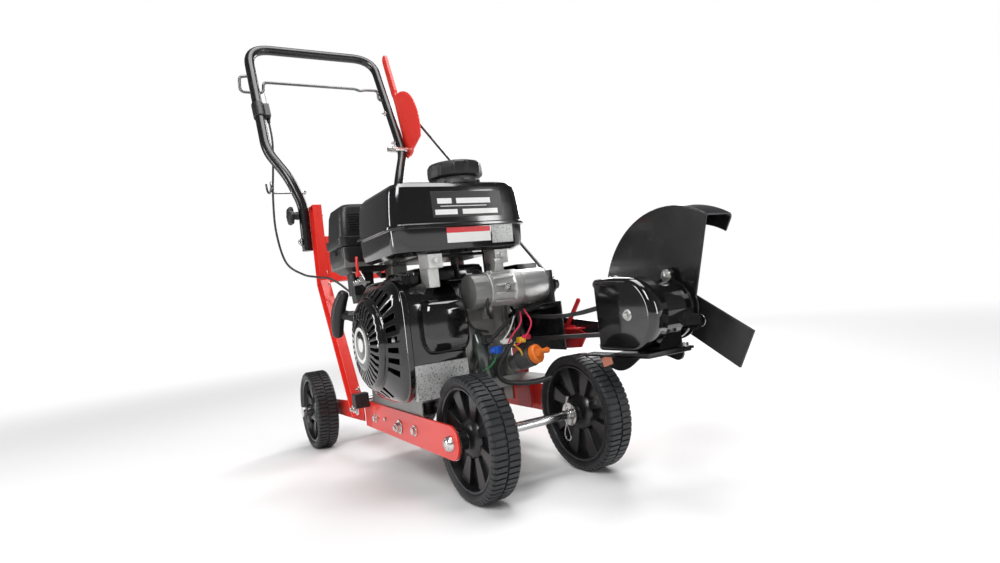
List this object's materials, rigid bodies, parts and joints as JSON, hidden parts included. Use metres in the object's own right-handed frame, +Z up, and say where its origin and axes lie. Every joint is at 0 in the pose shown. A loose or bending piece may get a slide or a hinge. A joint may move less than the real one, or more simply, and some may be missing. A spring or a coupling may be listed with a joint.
{
  "type": "lawn edger",
  "caption": "Walk-behind petrol lawn edger: steel frame on wheels, engine with tank and starters, and a guarded blade on a belt-driven swing arm set by a depth lever.",
  "frame": {"origin": "on the ground under the middle of the machine's box", "axes": "+X forward, the way the machine is pushed, +Y to the operator's left, +Z up"},
  "size_m": [1.2002, 0.4874, 1.0824],
  "materials": {
    "black_paint": "gloss powder coat",
    "black_plastic": "matt moulded",
    "blade_steel": "satin black coat on steel",
    "cast_aluminium": "as cast",
    "gloss_black": "gloss",
    "orange_plastic": "satin moulded",
    "red_paint": "gloss powder coat",
    "rubber": "matt",
    "steel": "machined",
    "zinc": "zinc plated"
  },
  "bodies": {
    "chassis": {"right_side_bar": "red_paint", "left_side_bar": "red_paint", "engine_deck": "zinc", "left_pivot_plate": "red_paint", "arm_pivot_bolt": "zinc", "right_upright": "red_paint", "left_upright": "red_paint", "console_panel": "red_paint", "front_axle": "steel", "hairpin_clip": "zinc", "rear_axle": "steel", "handlebar": "black_paint", "depth_quadrant": "red_paint", "rope_guide": "zinc", "control_cable": "rubber", "crankcase": "cast_aluminium", "cylinder": "cast_aluminium", "valve_cover": "black_paint", "spark_plug_cap": "black_plastic", "blower_housing": "gloss_black", "recoil_cover": "gloss_black", "tank_stay": "black_paint", "fuel_tank": "gloss_black", "air_cleaner_cover": "black_plastic", "carburettor": "cast_aluminium", "muffler": "black_paint", "starter_motor": "zinc", "belt_guard": "black_paint"},
    "right_front_wheel": {"right_front_wheel_tyre": "rubber", "right_front_wheel_rim": "black_plastic"},
    "left_front_wheel": {"left_front_wheel_tyre": "rubber", "left_front_wheel_rim": "black_plastic"},
    "right_rear_wheel": {"right_rear_wheel_tyre": "rubber", "right_rear_wheel_rim": "black_plastic"},
    "left_rear_wheel": {"left_rear_wheel_tyre": "rubber", "left_rear_wheel_rim": "black_plastic"},
    "engine_shaft": {"crankshaft": "steel", "flywheel": "cast_aluminium", "engine_pulley": "steel"},
    "blade_arm": {"swing_arm": "black_paint", "spindle_housing": "black_paint", "belt_cover": "gloss_black", "blade_guard": "black_paint", "drive_belt": "rubber"},
    "blade_spindle": {"spindle": "steel", "head_pulley": "steel", "blade": "blade_steel"},
    "depth_lever": {"depth_lever": "red_paint"},
    "depth_rod": {"depth_rod": "steel"},
    "bail": {"bail": "zinc"},
    "idler_arm": {"idler_arm": "zinc"},
    "idler_pulley": {"idler_pulley": "black_plastic"},
    "recoil_grip": {"recoil_grip": "black_plastic"},
    "fuel_cap": {"fuel_cap": "black_plastic"},
    "oil_cap": {"oil_cap": "orange_plastic"},
    "left_handle_knob": {"left_handle_knob": "black_plastic"},
    "right_handle_knob": {"right_handle_knob": "black_plastic"},
    "choke_lever": {"choke_lever": "black_plastic"},
    "fuel_lever": {"fuel_lever": "red_paint"},
    "throttle_lever": {"throttle_lever": "red_paint"}
  },
  "joints": [
    {"name": "right_front_wheel_turn", "type": "hinge", "parent": "chassis", "child": "right_front_wheel", "pos_m": [0.262, -0.0663, 0.1016], "axis": [0, 1, 0], "continuous": true},
    {"name": "left_front_wheel_turn", "type": "hinge", "parent": "chassis", "child": "left_front_wheel", "pos_m": [0.262, 0.1537, 0.1016], "axis": [0, 1, 0], "continuous": true},
    {"name": "right_rear_wheel_turn", "type": "hinge", "parent": "chassis", "child": "right_rear_wheel", "pos_m": [-0.411, -0.1533, 0.0935], "axis": [0, 1, 0], "continuous": true},
    {"name": "left_rear_wheel_turn", "type": "hinge", "parent": "chassis", "child": "left_rear_wheel", "pos_m": [-0.411, 0.1057, 0.0935], "axis": [0, 1, 0], "continuous": true},
    {"name": "engine_shaft_turn", "type": "hinge", "parent": "chassis", "child": "engine_shaft", "pos_m": [0.0905, -0.0238, 0.264], "axis": [0, 1, 0], "continuous": true},
    {"name": "depth_lever_swing", "type": "hinge", "parent": "chassis", "child": "depth_lever", "pos_m": [-0.433, 0.1762, 0.757], "axis": [0, 1, 0], "range_deg": [0, 37.5]},
    {"name": "blade_arm_swing", "type": "hinge", "parent": "chassis", "child": "blade_arm", "pos_m": [0.0905, 0.1834, 0.264], "axis": [0, 1, 0], "range_deg": [0, 30]},
    {"name": "depth_rod_swing", "type": "hinge", "parent": "depth_lever", "child": "depth_rod", "pos_m": [-0.388, 0.1887, 0.824], "axis": [0, 1, 0], "range_deg": [-36.6, 0]},
    {"name": "blade_spindle_turn", "type": "hinge", "parent": "blade_arm", "child": "blade_spindle", "pos_m": [0.475, 0.1762, 0.275], "axis": [0, 1, 0], "continuous": true},
    {"name": "bail_squeeze", "type": "hinge", "parent": "chassis", "child": "bail", "pos_m": [-0.523, -0.0238, 0.925], "axis": [0, 1, 0], "range_deg": [-36, 0], "stiffness_Nm_per_rad": 0.8, "springref_deg": 34.38},
    {"name": "idler_arm_swing", "type": "hinge", "parent": "chassis", "child": "idler_arm", "pos_m": [0.11, 0.0942, 0.352], "axis": [0, 1, 0], "range_deg": [0, 13]},
    {"name": "idler_pulley_turn", "type": "hinge", "parent": "idler_arm", "child": "idler_pulley", "pos_m": [0.145, 0.1087, 0.321], "axis": [0, 1, 0], "continuous": true},
    {"name": "starter_pull", "type": "slide", "parent": "chassis", "child": "recoil_grip", "axis": [-0.35, -0.9, 0.26], "range_m": [0, 0.5], "stiffness_N_per_m": 40, "springref_m": -0.15},
    {"name": "fuel_cap_turn", "type": "hinge", "parent": "chassis", "child": "fuel_cap", "pos_m": [0.154, 0.0062, 0.556], "axis": [0, 0, 1], "range_deg": [0, 90]},
    {"name": "oil_cap_turn", "type": "hinge", "parent": "chassis", "child": "oil_cap", "pos_m": [0.244, 0.0722, 0.213], "axis": [0.8739, 0.3837, 0.2984], "continuous": true},
    {"name": "left_handle_knob_turn", "type": "hinge", "parent": "chassis", "child": "left_handle_knob", "pos_m": [-0.378, 0.1262, 0.572], "axis": [0, 1, 0], "continuous": true},
    {"name": "right_handle_knob_turn", "type": "hinge", "parent": "chassis", "child": "right_handle_knob", "pos_m": [-0.378, -0.1738, 0.572], "axis": [0, 1, 0], "continuous": true},
    {"name": "choke_lever_swing", "type": "hinge", "parent": "chassis", "child": "choke_lever", "pos_m": [-0.073, -0.0738, 0.392], "axis": [0, 1, 0], "range_deg": [-40, 0]},
    {"name": "fuel_lever_swing", "type": "hinge", "parent": "chassis", "child": "fuel_lever", "pos_m": [-0.05, -0.0738, 0.372], "axis": [0, 1, 0], "range_deg": [0, 60]},
    {"name": "throttle_lever_swing", "type": "hinge", "parent": "chassis", "child": "throttle_lever", "pos_m": [0, -0.1478, 0.395], "axis": [0, 1, 0], "range_deg": [-35, 25]}
  ],
  "couplings": [
    {"joint": "blade_arm_swing", "follows": "depth_lever_swing", "ratio": 0.8},
    {"joint": "depth_rod_swing", "follows": "depth_lever_swing", "ratio": -0.976},
    {"joint": "blade_spindle_turn", "follows": "engine_shaft_turn", "ratio": 1.13},
    {"joint": "idler_arm_swing", "follows": "bail_squeeze", "ratio": -0.3611}
  ]
}
